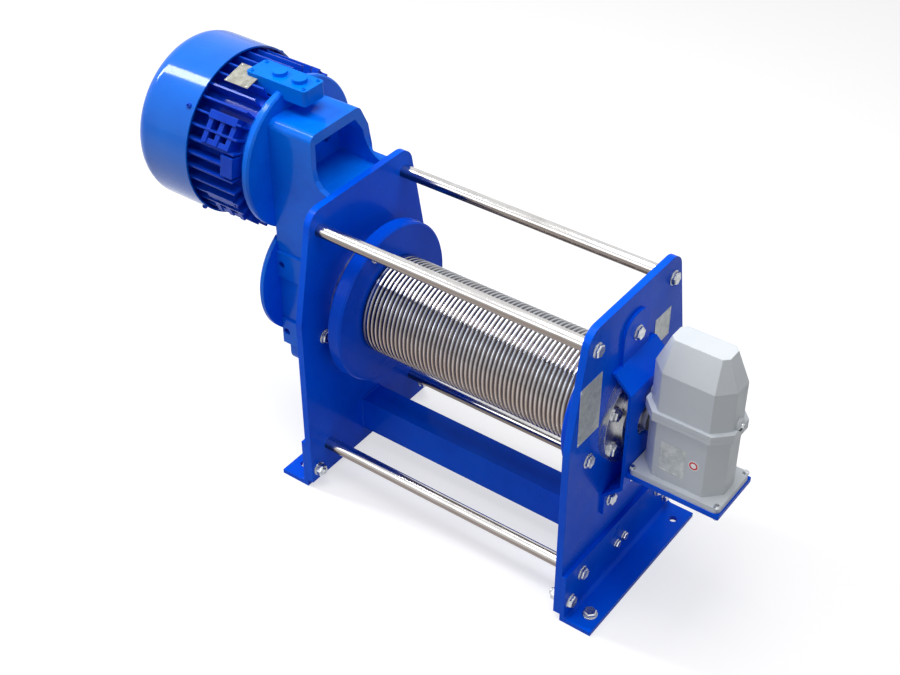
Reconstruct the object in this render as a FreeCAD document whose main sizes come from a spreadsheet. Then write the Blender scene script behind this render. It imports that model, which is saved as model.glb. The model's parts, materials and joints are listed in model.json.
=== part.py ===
"""Wire rope winch on a two-plate frame: electric gearmotor, grooved drum and geared limit switch.

Millimetres, +Z up.  X runs along the drum, with the motor at -X and the limit switch at +X.
Y = 0 is the plane of the drum axis.  The origin is on the ground, in the middle of the four
anchor holes.  Every size sits in the sheet "Sizes", and every piece is bound to it.
"""
import FreeCAD, Part
import math
import os

import Sketcher
from FreeCAD import Placement, Rotation, Vector

doc = FreeCAD.newDocument("wire_rope_winch")
sheet = doc.addObject("Spreadsheet::Sheet", "Sizes")


class Size:
    """A number together with the sheet expression that gives it."""

    def __init__(self, value, text):
        self.value = value
        self.text = text

    def __add__(self, other):
        other = size(other)
        return Size(self.value + other.value, f"({self.text} + {other.text})")

    def __radd__(self, other):
        return size(other) + self

    def __sub__(self, other):
        other = size(other)
        return Size(self.value - other.value, f"({self.text} - {other.text})")

    def __rsub__(self, other):
        return size(other) - self

    def __mul__(self, other):
        other = size(other)
        return Size(self.value * other.value, f"({self.text} * {other.text})")

    def __rmul__(self, other):
        return size(other) * self

    def __truediv__(self, other):
        other = size(other)
        return Size(self.value / other.value, f"({self.text} / {other.text})")

    def __neg__(self):
        return Size(-self.value, f"(0 - {self.text})")


def size(number):
    """A plain number as a Size; a Size stays as it is."""
    if isinstance(number, Size):
        return number
    return Size(number, repr(number))


# ---------------------------------------------------------------- driving sizes

SIZES = {
    # side plates
    "plate_gap": 488,
    "plate_thickness": 12,
    "plate_width": 324,
    "plate_bottom": 14,
    "plate_top_edge": 37,
    "plate_top_width": 248,
    "shoulder_height": 350,
    "plate_corner_radius": 30,
    # tie rods and the beam
    "rod_diameter": 22,
    "top_rod_edge": 18,
    "top_rod_height": 503,
    "bottom_rod_edge": 46,
    "bottom_rod_height": 73,
    "beam_width": 48,
    "beam_height": 64,
    "beam_wall": 4,
    "beam_bottom": 43,
    # foot angles and anchor holes
    "foot_reach": 56,
    "foot_rise": 98,
    "foot_thickness": 8,
    "foot_bend_radius": 8,
    "anchor_hole": 13,
    "anchor_edge": 32,
    "anchor_setback": 36,
    # hexagon bolts
    "bolt_diameter": 12,
    "bolt_head_flats": 19,
    "bolt_head_height": 8,
    "bolt_hole": 12.6,
    "bolt_relief": 30,
    "foot_bolt_edge": 16,
    "foot_bolt_height": 36,
    "mid_bolt_spread": 220,
    "mid_bolt_height": 299,
    # drum
    "drum_axis": 325,
    "barrel_diameter": 168,
    "barrel_collar_diameter": 160,
    "barrel_collar_length": 4,
    "drum_flange_diameter": 276,
    "drum_flange_thickness": 26,
    "drum_flange_offset": 30,
    "far_flange_diameter": 240,
    "far_flange_thickness": 14,
    "far_flange_offset": 17,
    "flange_chamfer": 3,
    "rope_bolt_side": 40,
    "rope_bolt_rise": 115,
    "shaft_diameter": 50,
    "running_clearance": 0.05,
    # bearing housings
    "plate_bore": 120,
    "hub_diameter": 190,
    "hub_thickness": 14,
    "hub_boss_diameter": 130,
    "hub_boss_length": 22,
    "hub_bolt_circle": 160,
    "inner_hub_diameter": 252,
    "inner_hub_thickness": 10,
    "bearing_flange_diameter": 168,
    "bearing_flange_thickness": 12,
    "bearing_boss_diameter": 104,
    "bearing_boss_length": 22,
    "bearing_bolt_circle": 138,
    "bearing_bolt_count": 6,
    # gearbox
    "gear_front": 72,
    "gear_rear": 78,
    "gear_top": 636,
    "gear_case_length": 86,
    "gear_case_gap": 26,
    "gear_corner_radius": 14,
    "gear_low_rear": 116,
    "gear_low_bottom": 158,
    "gear_low_top": 540,
    "gear_low_slope": 38,
    "gear_bulge": 35,
    "gear_step_height": 50,
    "gear_step_depth": 11,
    "gear_roof_drop": 40,
    "gear_roof_run": 32,
    "gear_roof_end": 136,
    "gear_flange_diameter": 252,
    "gear_flange_thickness": 14,
    "gear_cover_diameter": 230,
    "gear_cover_height": 12,
    "gear_cover_round": 5,
    "gear_cover_top": 90,
    "output_bore_depth": 70,
    "shaft_insert": 68,
    "pocket_depth": 50,
    "pocket_front": 62,
    "pocket_rear": 60,
    "pocket_bottom": 530,
    "pocket_top": 618,
    "pocket_back_front": 10,
    "pocket_back_rear": 52,
    "pocket_back_bottom": 540,
    "pocket_back_top": 600,
    "pocket_hole": 15,
    "pocket_hole_side": 23,
    "pocket_hole_height": 574,
    "pocket_hole_depth": 22,
    "pad_thickness": 4,
    "pad_bottom": 209,
    "pad_height": 50,
    "pad_pitch": 137,
    "pad_hole": 13,
    "pad_hole_pitch": 46,
    "pad_hole_depth": 18,
    "pad_length": 72,
    "pad_hole_setback": 32,
    "pad_corner_radius": 6,
    # motor
    "motor_axis": 545,
    "motor_flange_diameter": 254,
    "motor_flange_length": 14,
    "end_shield_diameter": 236,
    "end_shield_length": 12,
    "motor_core_diameter": 224,
    "motor_core_length": 107,
    "fin_height": 22,
    "fin_thickness": 3.4,
    "fin_count": 36,
    "cowl_diameter": 282,
    "cowl_length": 117,
    "cowl_overlap": 16,
    "cowl_wall": 3,
    "cowl_round": 28,
    "rear_shield_length": 12,
    "seat_thickness": 9,
    "seat_width": 56,
    "seat_start": 10,
    "seat_length": 56,
    "seat_window_depth": 12,
    "boss_width": 34,
    "boss_length": 24,
    "grille_slot_count": 16,
    "grille_slot_width": 8,
    "grille_slot_start": 34,
    "grille_slot_end": 96,
    "box_start": -442,
    "box_length": 120,
    "box_front": -34,
    "box_depth": 48,
    "box_base": 656,
    "box_height": 18,
    "box_lid_thickness": 8,
    "box_corner_radius": 6,
    "plug_diameter": 24,
    "plug_height": 6,
    "plug_pitch": 40,
    # limit switch and its bracket
    "bracket_stand_off": 30,
    "bracket_sheet": 5,
    "bracket_width": 116,
    "bracket_tab_width": 72,
    "bracket_top_bolt": 470,
    "bracket_bend_top": 430,
    "bracket_bend_low": 190,
    "bracket_low_edge": 150,
    "bracket_top_edge": 505,
    "bracket_low_bolt": 172,
    "bracket_low_spread": 80,
    "bracket_bore": 60,
    "shelf_top": 248,
    "shelf_thickness": 8,
    "shelf_width": 104,
    "shelf_overhang": 2,
    "switch_gap": 1,
    "switch_length": 152,
    "switch_width": 100,
    "switch_flange_height": 10,
    "switch_flange_round": 10,
    "switch_body_inset": 10,
    "switch_body_height": 115,
    "cover_wall_height": 78,
    "cover_roof_height": 49,
    "cover_chamfer": 24,
    "cover_roof_inset": 20,
    "switch_bolt_diameter": 5,
    "switch_bolt_hole": 5.4,
    "switch_bolt_flats": 8,
    "switch_bolt_head": 4,
    "rim_height": 8,
    "rim_reach": 6,
    "coupling_diameter": 40,
    "coupling_length": 20,
    "input_shaft_diameter": 14,
    "input_shaft_length": 24,
    "input_bore_depth": 20,
}

for row, (alias, number) in enumerate(SIZES.items(), start=1):
    sheet.set(f"A{row}", alias)
    sheet.set(f"B{row}", str(number))
    sheet.setAlias(f"B{row}", alias)
doc.recompute()


class Sizes:
    """The sheet's cells as attributes, each a Size."""

    def __getattr__(self, alias):
        return Size(SIZES[alias], f"Sizes.{alias}")


s = Sizes()


# ---------------------------------------------------------------- modelling helpers

pieces = []


def bind(thing, prop, amount):
    """Ties one property of an object to a Size."""
    thing.setExpression(prop, size(amount).text)


def finish_piece(thing, label, at=(0, 0, 0)):
    """Names a sub-part, places it and puts it on the list of pieces to write."""
    thing.Label = label
    numbers = [size(amount).value for amount in at]
    thing.Placement = Placement(Vector(*numbers), thing.Placement.Rotation)
    for axis, amount in zip("xyz", at):
        bind(thing, f"Placement.Base.{axis}", amount)
    pieces.append(thing)
    return thing


def new_body(label):
    return doc.addObject("PartDesign::Body", f"body_{label}")


def new_sketch(body, plane, lift=0):
    """A sketch on one of the body's own origin planes, lifted along the plane's normal."""
    sketch = body.newObject("Sketcher::SketchObject", f"{body.Name}_sketch")
    planes = [feature for feature in body.Origin.OriginFeatures if feature.Role == plane]
    sketch.AttachmentSupport = [(planes[0], "")]
    sketch.MapMode = "FlatFace"
    bind(sketch, "AttachmentOffset.Base.z", lift)
    return sketch


def pin_point(sketch, edge, end, x, y):
    """Holds one point of a sketch at x, y from the sketch's origin."""
    for kind, amount in (("DistanceX", x), ("DistanceY", y)):
        amount = size(amount)
        index = sketch.addConstraint(Sketcher.Constraint(kind, -1, 1, edge, end, amount.value))
        sketch.setExpression(f"Constraints[{index}]", amount.text)


def add_polygon(sketch, points):
    """A closed outline of straight lines through points, each an (x, y) of Sizes or numbers."""
    spots = [Vector(size(x).value, size(y).value, 0) for x, y in points]
    edges = []
    for here, there in zip(spots, spots[1:] + spots[:1]):
        edges.append(sketch.addGeometry(Part.LineSegment(here, there), False))
    for edge, following in zip(edges, edges[1:] + edges[:1]):
        sketch.addConstraint(Sketcher.Constraint("Coincident", edge, 2, following, 1))
    for edge, (x, y) in zip(edges, points):
        pin_point(sketch, edge, 1, x, y)


def add_box(sketch, x_low, x_high, y_low, y_high):
    add_polygon(sketch, [(x_low, y_low), (x_high, y_low), (x_high, y_high), (x_low, y_high)])


def add_circle(sketch, x, y, diameter):
    centre = Vector(size(x).value, size(y).value, 0)
    radius = size(diameter) / 2
    circle = sketch.addGeometry(Part.Circle(centre, Vector(0, 0, 1), radius.value), False)
    pin_point(sketch, circle, 3, x, y)
    index = sketch.addConstraint(Sketcher.Constraint("Radius", circle, radius.value))
    sketch.setExpression(f"Constraints[{index}]", radius.text)


def pad(body, sketch, length, midplane=False, backwards=False):
    feature = body.newObject("PartDesign::Pad", f"{body.Name}_pad")
    feature.Profile = sketch
    feature.Midplane = midplane
    feature.Reversed = backwards
    bind(feature, "Length", length)
    return feature


def pocket(body, sketch, length, midplane=False, backwards=False):
    feature = body.newObject("PartDesign::Pocket", f"{body.Name}_pocket")
    feature.Profile = sketch
    feature.Midplane = midplane
    feature.Reversed = backwards
    bind(feature, "Length", length)
    return feature


def round_edges(body, radius, wanted, kind="Fillet"):
    """Rounds or chamfers the tip's edges for which wanted(edge) is true."""
    doc.recompute()
    base = body.Tip
    names = [f"Edge{n}" for n, edge in enumerate(base.Shape.Edges, start=1) if wanted(edge)]
    feature = body.newObject(f"PartDesign::{kind}", f"{body.Name}_{kind.lower()}")
    feature.Base = (base, names)
    bind(feature, "Radius" if kind == "Fillet" else "Size", radius)
    base.Visibility = False
    return feature


def along(edge, axis):
    """True if a straight edge runs along the axis 0, 1 or 2."""
    if edge.Curve.TypeId != "Part::GeomLine":
        return False
    return abs(abs(edge.Curve.Direction[axis]) - 1) < 1e-6


def turned_body(label, profile):
    """A body turned about its local X axis: profile is a list of (x, radius)."""
    body = new_body(label)
    sketch = new_sketch(body, "XZ_Plane")
    add_polygon(sketch, profile)
    feature = body.newObject("PartDesign::Revolution", f"{body.Name}_turn")
    feature.Profile = sketch
    feature.ReferenceAxis = (sketch, ["H_Axis"])
    feature.Angle = 360
    return body


def turned(label, profile, at):
    return finish_piece(turned_body(label, profile), label, at)


def hex_bolt(name, tip, direction, grip):
    """A hexagon bolt: its head stands on the point tip and its shank goes back by grip.

    direction is the way the head points: 1 for +X and -1 for -X.
    """
    turn = Rotation(Vector(0, 1, 0), 90 * direction)
    head = doc.addObject("Part::Prism", f"{name}_head")
    head.Polygon = 6
    bind(head, "Circumradius", s.bolt_head_flats / 1.7320508)
    bind(head, "Height", s.bolt_head_height)
    shank = doc.addObject("Part::Cylinder", f"{name}_shank")
    bind(shank, "Radius", s.bolt_diameter / 2)
    bind(shank, "Height", size(grip) + s.bolt_head_height / 2)
    starts = (size(tip[0]), size(tip[0]) - direction * size(grip))
    for part, start in zip((head, shank), starts):
        part.Placement = Placement(Vector(0, 0, 0), turn)
        for axis, amount in zip("xyz", (start, tip[1], tip[2])):
            bind(part, f"Placement.Base.{axis}", amount)
    whole = doc.addObject("Part::MultiFuse", name)
    whole.Shapes = [head, shank]
    return whole


def bolt_group(label, tips, direction, grip):
    """Several like bolts as one piece."""
    bolts = [hex_bolt(f"{label}_{n}", tip, direction, grip) for n, tip in enumerate(tips, start=1)]
    group = doc.addObject("Part::Compound", f"group_{label}")
    group.Links = bolts
    return finish_piece(group, label)


# ---------------------------------------------------------------- places used by many pieces

half_gap = s.plate_gap / 2
plate_face = half_gap + s.plate_thickness
half_width = s.plate_width / 2
half_top = s.plate_top_width / 2
plate_top = s.top_rod_height + s.plate_top_edge
top_rod = half_top - s.top_rod_edge
bottom_rod = half_width - s.bottom_rod_edge
rod_places = {
    "top_front": (-top_rod, s.top_rod_height),
    "top_rear": (top_rod, s.top_rod_height),
    "bottom_front": (-bottom_rod, s.bottom_rod_height),
    "bottom_rear": (bottom_rod, s.bottom_rod_height),
}


def bolt_ring(circle, count):
    """Places (y, z) evenly round the drum axis, none of them straight above it."""
    spots = []
    for step in range(count):
        angle = math.radians(360 / count * (step + 0.5))
        y = circle / 2 * round(math.cos(angle), 6)
        z = s.drum_axis + circle / 2 * round(math.sin(angle), 6)
        spots.append((y, z))
    return spots


hub_ring = bolt_ring(s.hub_bolt_circle, 6)
bearing_ring = bolt_ring(s.bearing_bolt_circle, 6)
mid_bolts = [(side * s.mid_bolt_spread / 2, s.mid_bolt_height) for side in (-1, 1)]
foot_bolts = [(side * (half_width - s.foot_bolt_edge), s.foot_bolt_height) for side in (-1, 1)]
bracket_bolts = [(0, s.bracket_top_bolt), (-s.bracket_low_spread / 2, s.bracket_low_bolt),
                 (s.bracket_low_spread / 2, s.bracket_low_bolt)]
sides = {"motor": -1, "switch": 1}


# ---------------------------------------------------------------- frame

def side_plate(label, direction):
    """Tall plate with a narrower, rounded top, a bore for the drum's bearing and bolt holes."""
    body = new_body(label)
    outline = new_sketch(body, "YZ_Plane")
    add_polygon(outline, [
        (-half_width, s.plate_bottom),
        (half_width, s.plate_bottom),
        (half_width, s.shoulder_height),
        (half_top, plate_top),
        (-half_top, plate_top),
        (-half_width, s.shoulder_height),
    ])
    pad(body, outline, s.plate_thickness)
    top = plate_top.value
    shoulder = s.shoulder_height.value
    round_edges(body, s.plate_corner_radius,
                lambda edge: along(edge, 0) and abs(edge.CenterOfMass.z - top) < 1)
    round_edges(body, 2 * s.plate_corner_radius,
                lambda edge: along(edge, 0) and abs(edge.CenterOfMass.z - shoulder) < 1)
    holes = new_sketch(body, "YZ_Plane")
    add_circle(holes, 0, s.drum_axis, s.plate_bore)
    own = hub_ring if direction < 0 else bearing_ring + bracket_bolts
    for y, z in list(rod_places.values()) + mid_bolts + foot_bolts + own:
        add_circle(holes, y, z, s.bolt_hole)
    pocket(body, holes, s.plate_thickness, backwards=True)
    inner_face = half_gap if direction > 0 else -plate_face
    return finish_piece(body, label, (inner_face, 0, 0))


def foot_angle(label, direction):
    """Angle that carries one side plate: its wide leg stands on the plate, the other on the ground."""
    body = new_body(label)
    section = new_sketch(body, "XZ_Plane")
    out = direction
    add_polygon(section, [
        (0, 0),
        (out * s.foot_reach, 0),
        (out * s.foot_reach, s.foot_thickness),
        (out * s.foot_thickness, s.foot_thickness),
        (out * s.foot_thickness, s.foot_rise),
        (0, s.foot_rise),
    ])
    pad(body, section, s.plate_width, midplane=True)
    thickness = s.foot_thickness.value
    round_edges(body, s.foot_bend_radius, lambda edge: along(edge, 1)
                and abs(abs(edge.CenterOfMass.x) - thickness) < 1e-3
                and abs(edge.CenterOfMass.z - thickness) < 1e-3)
    anchors = new_sketch(body, "XY_Plane")
    for side in (-1, 1):
        add_circle(anchors, out * s.anchor_setback, side * (half_width - s.anchor_edge), s.anchor_hole)
    pocket(body, anchors, s.foot_thickness, backwards=True)
    bolts = new_sketch(body, "YZ_Plane")
    for y, z in [rod_places["bottom_front"], rod_places["bottom_rear"]] + foot_bolts:
        add_circle(bolts, y, z, s.bolt_hole)
    pocket(body, bolts, s.foot_thickness, backwards=direction > 0)
    return finish_piece(body, label, (out * plate_face, 0, 0))


def tie_rod(place):
    y, z = rod_places[place]
    rod = doc.addObject("Part::Cylinder", f"rod_{place}")
    bind(rod, "Radius", s.rod_diameter / 2)
    bind(rod, "Height", s.plate_gap)
    rod.Placement = Placement(Vector(0, 0, 0), Rotation(Vector(0, 1, 0), 90))
    return finish_piece(rod, f"tie_rod_{place}", (-half_gap, y, z))


def base_beam():
    """Rectangular tube between the plates, below the drum."""
    body = new_body("base_beam")
    section = new_sketch(body, "YZ_Plane")
    half = s.beam_width / 2
    top = s.beam_bottom + s.beam_height
    add_box(section, -half, half, s.beam_bottom, top)
    add_box(section, s.beam_wall - half, half - s.beam_wall,
            s.beam_bottom + s.beam_wall, top - s.beam_wall)
    pad(body, section, s.plate_gap, midplane=True)
    return finish_piece(body, "base_beam")


for name, direction in sides.items():
    side_plate(f"side_plate_{name}", direction)
    foot_angle(f"foot_angle_{name}", direction)
    outside = direction * plate_face
    on_foot = outside + direction * s.foot_thickness
    upper = [(outside,) + rod_places[place] for place in ("top_front", "top_rear")]
    lower = [(on_foot,) + rod_places[place] for place in ("bottom_front", "bottom_rear")]
    bolt_group(f"top_rod_bolts_{name}", upper, direction, s.plate_thickness)
    bolt_group(f"bottom_rod_bolts_{name}", lower, direction, s.plate_thickness + s.foot_thickness)
    feet = [(on_foot,) + place for place in foot_bolts]
    bolt_group(f"foot_bolts_{name}", feet, direction, s.plate_thickness + s.foot_thickness)
for place in rod_places:
    tie_rod(place)
base_beam()


# ---------------------------------------------------------------- drum and its bearings

flange_back = -half_gap + s.drum_flange_offset
flange_front = flange_back + s.drum_flange_thickness
far_front = half_gap - s.far_flange_offset
far_back = far_front - s.far_flange_thickness
shaft_bore = s.shaft_diameter + 2 * s.running_clearance
bearing_end = plate_face + s.bearing_boss_length
shaft_start = -plate_face - s.shaft_insert


def drum_disc(label, diameter, thickness, start):
    """Drum end disc on the barrel's core, with both rim edges broken."""
    edge = s.flange_chamfer
    radius = diameter / 2
    core = s.shaft_diameter / 2
    turned(label, [
        (0, core), (thickness, core), (thickness, radius - edge), (thickness - edge, radius),
        (edge, radius), (0, radius - edge),
    ], (start, 0, s.drum_axis))


drum_disc("drum_flange_motor", s.drum_flange_diameter, s.drum_flange_thickness, flange_back)
drum_disc("drum_flange_switch", s.far_flange_diameter, s.far_flange_thickness, far_back)

# The bolt that clamps the rope's end on the motor side's flange.
bolt_group("rope_clamp_bolt", [(flange_front, -s.rope_bolt_side, s.drum_axis + s.rope_bolt_rise)],
           1, 0)

barrel_length = far_back - flange_front
turned("drum_barrel", [
    (0, s.shaft_diameter / 2),
    (barrel_length, s.shaft_diameter / 2),
    (barrel_length, s.barrel_diameter / 2),
    (s.barrel_collar_length, s.barrel_diameter / 2),
    (s.barrel_collar_length, s.barrel_collar_diameter / 2),
    (0, s.barrel_collar_diameter / 2),
], (flange_front, 0, s.drum_axis))

shaft_length = bearing_end - shaft_start
shaft = doc.addObject("Part::Cylinder", "shaft")
bind(shaft, "Radius", s.shaft_diameter / 2)
bind(shaft, "Height", shaft_length)
shaft.Placement = Placement(Vector(0, 0, 0), Rotation(Vector(0, 1, 0), 90))
finish_piece(shaft, "drum_shaft", (shaft_start, 0, s.drum_axis))


def bearing_ring_piece(label, steps, at, circle=None):
    """Turned housing round the shaft; steps is (x, diameter) outwards, with holes on a circle."""
    body = new_body(label)
    sketch = new_sketch(body, "XZ_Plane")
    (wide_end, wide), (narrow_end, narrow) = steps
    add_polygon(sketch, [
        (0, shaft_bore / 2),
        (narrow_end, shaft_bore / 2),
        (narrow_end, narrow / 2),
        (wide_end, narrow / 2),
        (wide_end, wide / 2),
        (0, wide / 2),
    ])
    feature = body.newObject("PartDesign::Revolution", f"{body.Name}_turn")
    feature.Profile = sketch
    feature.ReferenceAxis = (sketch, ["H_Axis"])
    feature.Angle = 360
    holes = new_sketch(body, "YZ_Plane")
    for y, z in circle:
        add_circle(holes, y, z - s.drum_axis, s.bolt_hole)
    pocket(body, holes, wide_end, backwards=True)
    return finish_piece(body, label, at)


# Inside the motor side's plate: a flanged hub whose boss points at the drum.
bearing_ring_piece("bearing_hub_motor", [
    (s.hub_thickness, s.hub_diameter), (s.hub_boss_length, s.hub_boss_diameter),
], (-half_gap, 0, s.drum_axis), hub_ring)
hub_face = -half_gap + s.hub_thickness
bolt_group("hub_bolts_motor", [(hub_face,) + place for place in hub_ring], 1,
           s.hub_thickness + s.plate_thickness)

# Outside the switch side's plate: the bearing's cap, its boss pointing outwards.
bearing_ring_piece("bearing_cap_switch", [
    (s.bearing_flange_thickness, s.bearing_flange_diameter),
    (s.bearing_boss_length, s.bearing_boss_diameter),
], (plate_face, 0, s.drum_axis), bearing_ring)
cap_face = plate_face + s.bearing_flange_thickness
bolt_group("bearing_bolts_switch", [(cap_face,) + place for place in bearing_ring], 1,
           s.bearing_flange_thickness + s.plate_thickness)


def inner_hub():
    """Flat hub inside the switch side's plate, held by the bolts beside the drum."""
    body = new_body("bearing_hub_switch")
    disc = new_sketch(body, "YZ_Plane")
    add_circle(disc, 0, 0, s.inner_hub_diameter)
    add_circle(disc, 0, 0, shaft_bore)
    for y, z in mid_bolts:
        add_circle(disc, y, z - s.drum_axis, s.bolt_hole)
    pad(body, disc, s.inner_hub_thickness, backwards=True)
    return finish_piece(body, "bearing_hub_switch", (half_gap, 0, s.drum_axis))


inner_hub()

# Bolts through both plates beside the drum: one pair holds the gearbox flange, one the inner hub.
bolt_group("mid_bolts_motor", [(-half_gap,) + place for place in mid_bolts], 1,
           s.plate_thickness + s.gear_flange_thickness)
bolt_group("mid_bolts_switch", [(plate_face,) + place for place in mid_bolts], 1,
           s.plate_thickness + s.inner_hub_thickness)

# The drum shaft turns the limit switch through a round coupling with a thin end.
stub_end = s.coupling_length + s.input_shaft_length
turned("switch_coupling", [
    (0, 0),
    (stub_end, 0),
    (stub_end, s.input_shaft_diameter / 2),
    (s.coupling_length, s.input_shaft_diameter / 2),
    (s.coupling_length, s.coupling_diameter / 2),
    (0, s.coupling_diameter / 2),
], (bearing_end, 0, s.drum_axis))


# ---------------------------------------------------------------- gearbox

case_face = -plate_face - s.gear_case_gap
case_back = case_face - s.gear_case_length


def gearbox_casing():
    """One casting: deep lower case round the output, upper case with a pocket, flange and pads."""
    body = new_body("gearbox_casing")
    depth = s.gear_case_gap + s.gear_case_length
    front = -s.gear_front
    low = new_sketch(body, "YZ_Plane")
    add_polygon(low, [
        (front, s.gear_low_top),
        (s.gear_rear, s.gear_low_top),
        (s.gear_low_rear, s.gear_low_top - s.gear_low_slope),
        (s.gear_low_rear, s.gear_low_bottom + s.gear_low_slope),
        (s.gear_rear, s.gear_low_bottom),
        (front + s.gear_low_slope, s.gear_low_bottom),
        (front, s.gear_low_bottom + s.gear_low_slope / 2),
    ])
    pad(body, low, depth, backwards=True)
    axis = s.drum_axis.value
    round_edges(body, 1.5 * s.gear_corner_radius,
                lambda edge: along(edge, 0) and edge.CenterOfMass.z < axis)
    step = new_sketch(body, "XZ_Plane")
    add_box(step, -depth - s.gear_step_depth, s.gear_step_depth - depth,
            s.gear_low_bottom - s.gear_step_depth, s.gear_low_bottom + s.gear_step_height)
    pocket(body, step, 4 * s.gear_low_rear, midplane=True)
    roof_start = s.gear_rear - s.gear_roof_run
    upper = new_sketch(body, "YZ_Plane", -s.gear_case_gap)
    add_polygon(upper, [
        (front, s.drum_axis),
        (s.gear_rear, s.drum_axis),
        (s.gear_rear, s.gear_top - s.gear_roof_end),
        (s.gear_rear - s.gear_roof_run / 8, s.gear_top - 2 * s.gear_roof_drop),
        (s.gear_rear - s.gear_roof_run / 2.7, s.gear_top - s.gear_roof_drop),
        (roof_start, s.gear_top),
        (front, s.gear_top),
    ])
    pad(body, upper, s.gear_case_length, backwards=True)
    top = s.gear_top.value
    round_edges(body, s.gear_corner_radius,
                lambda edge: along(edge, 0) and abs(edge.CenterOfMass.z - top) < 1e-3)
    flare = new_sketch(body, "XZ_Plane", s.gear_front)
    gap = s.gear_case_gap
    add_polygon(flare, [
        (0, s.gear_low_top - s.gear_bulge),
        (0, s.gear_low_top),
        (-0.5 * gap, s.gear_low_top + s.gear_bulge / 5),
        (-0.85 * gap, s.gear_low_top + s.gear_bulge / 2),
        (-gap, s.gear_low_top + s.gear_bulge),
        (-2 * gap, s.gear_low_top + s.gear_bulge),
        (-2 * gap, s.gear_low_top - s.gear_bulge),
    ])
    pad(body, flare, s.gear_front + s.gear_rear - 0.4 * s.gear_roof_run, backwards=True)
    flange = new_sketch(body, "YZ_Plane")
    add_circle(flange, 0, s.drum_axis, s.gear_flange_diameter)
    pad(body, flange, s.gear_flange_thickness, backwards=True)
    for base in (s.pad_bottom, s.pad_bottom + s.pad_pitch):
        block = new_sketch(body, "XZ_Plane", s.gear_front)
        add_box(block, -depth, s.pad_length - depth, base, base + s.pad_height)
        pad(body, block, s.pad_thickness)
        holes = new_sketch(body, "XZ_Plane", s.gear_front + s.pad_thickness)
        for side in (-1, 1):
            x = s.pad_hole_setback - depth + side * s.pad_hole_pitch / 2
            add_circle(holes, x, base + s.pad_height / 2, s.pad_hole)
        pocket(body, holes, s.pad_hole_depth)
    rise = s.pocket_top - s.pocket_bottom
    mouth = [
        (-s.pocket_front, s.pocket_bottom),
        (s.pocket_rear, s.pocket_bottom),
        (s.pocket_rear, s.pocket_bottom + 0.3 * rise),
        (0.87 * s.pocket_rear, s.pocket_bottom + 0.7 * rise),
        (0.57 * s.pocket_rear, s.pocket_top),
        (-s.pocket_front, s.pocket_top),
    ]
    back_rise = s.pocket_back_top - s.pocket_back_bottom
    back_wall = [
        (-s.pocket_back_front, s.pocket_back_bottom),
        (s.pocket_back_rear, s.pocket_back_bottom),
        (s.pocket_back_rear, s.pocket_back_bottom + 0.33 * back_rise),
        (0.92 * s.pocket_back_rear, s.pocket_back_bottom + 0.77 * back_rise),
        (0.7 * s.pocket_back_rear, s.pocket_back_top),
        (-s.pocket_back_front, s.pocket_back_top),
    ]
    opening = new_sketch(body, "YZ_Plane")
    add_polygon(opening, mouth)
    pocket(body, opening, gap)
    outer = new_sketch(body, "YZ_Plane", -gap)
    add_polygon(outer, mouth)
    inner = new_sketch(body, "YZ_Plane", -gap - s.pocket_depth)
    add_polygon(inner, back_wall)
    hollow = body.newObject("PartDesign::SubtractiveLoft", "casing_pocket")
    hollow.Profile = outer
    hollow.Sections = [inner]
    hollow.Ruled = True
    hole = new_sketch(body, "YZ_Plane", -gap - s.pocket_depth)
    add_circle(hole, s.pocket_hole_side, s.pocket_hole_height, s.pocket_hole)
    pocket(body, hole, s.pocket_hole_depth)
    bore = new_sketch(body, "YZ_Plane")
    add_circle(bore, 0, s.drum_axis, shaft_bore)
    pocket(body, bore, s.output_bore_depth)
    bolts = new_sketch(body, "YZ_Plane")
    for y, z in mid_bolts:
        add_circle(bolts, y, z, s.bolt_hole)
    pocket(body, bolts, s.gear_flange_thickness)
    relief = new_sketch(body, "YZ_Plane")
    add_circle(relief, *rod_places["top_rear"], s.bolt_relief)
    pocket(body, relief, 1.5 * s.bolt_head_height)
    return finish_piece(body, "gearbox_casing", (-plate_face, 0, 0))


gearbox_casing()


def gearbox_end_cover():
    """Round cover behind the casing, cut flat on top to leave room for the motor's flange."""
    body = turned_body("gearbox_end_cover", [
        (0, 0),
        (-s.gear_cover_height, 0),
        (-s.gear_cover_height, s.gear_cover_diameter / 2 - s.gear_cover_round),
        (s.gear_cover_round - s.gear_cover_height, s.gear_cover_diameter / 2),
        (0, s.gear_cover_diameter / 2),
    ])
    flat = new_sketch(body, "YZ_Plane")
    half = s.gear_cover_diameter / 2
    add_box(flat, -half, half, s.gear_cover_top, s.gear_cover_diameter)
    pocket(body, flat, 2 * s.gear_cover_height, midplane=True)
    return finish_piece(body, "gearbox_end_cover", (case_back, 0, s.drum_axis))


gearbox_end_cover()


# ---------------------------------------------------------------- motor

shield_end = case_back - s.motor_flange_length - s.end_shield_length
core_end = shield_end - s.motor_core_length
cowl_rim = core_end + s.cowl_overlap
fin_tip = s.motor_core_diameter / 2 + s.fin_height
SEAT_ANGLES = (40, -22)
BOSS_ANGLE = 10

def cut_box_seat(body, origin, height):
    """Cuts the flat place under the terminal box out of a body whose own zero is at x = origin."""
    seat = new_sketch(body, "XY_Plane", s.box_base - s.motor_axis)
    start = s.box_start - origin
    add_box(seat, start, start + s.box_length, s.box_front, s.box_front + s.box_depth)
    pocket(body, seat, height, backwards=True)


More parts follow.
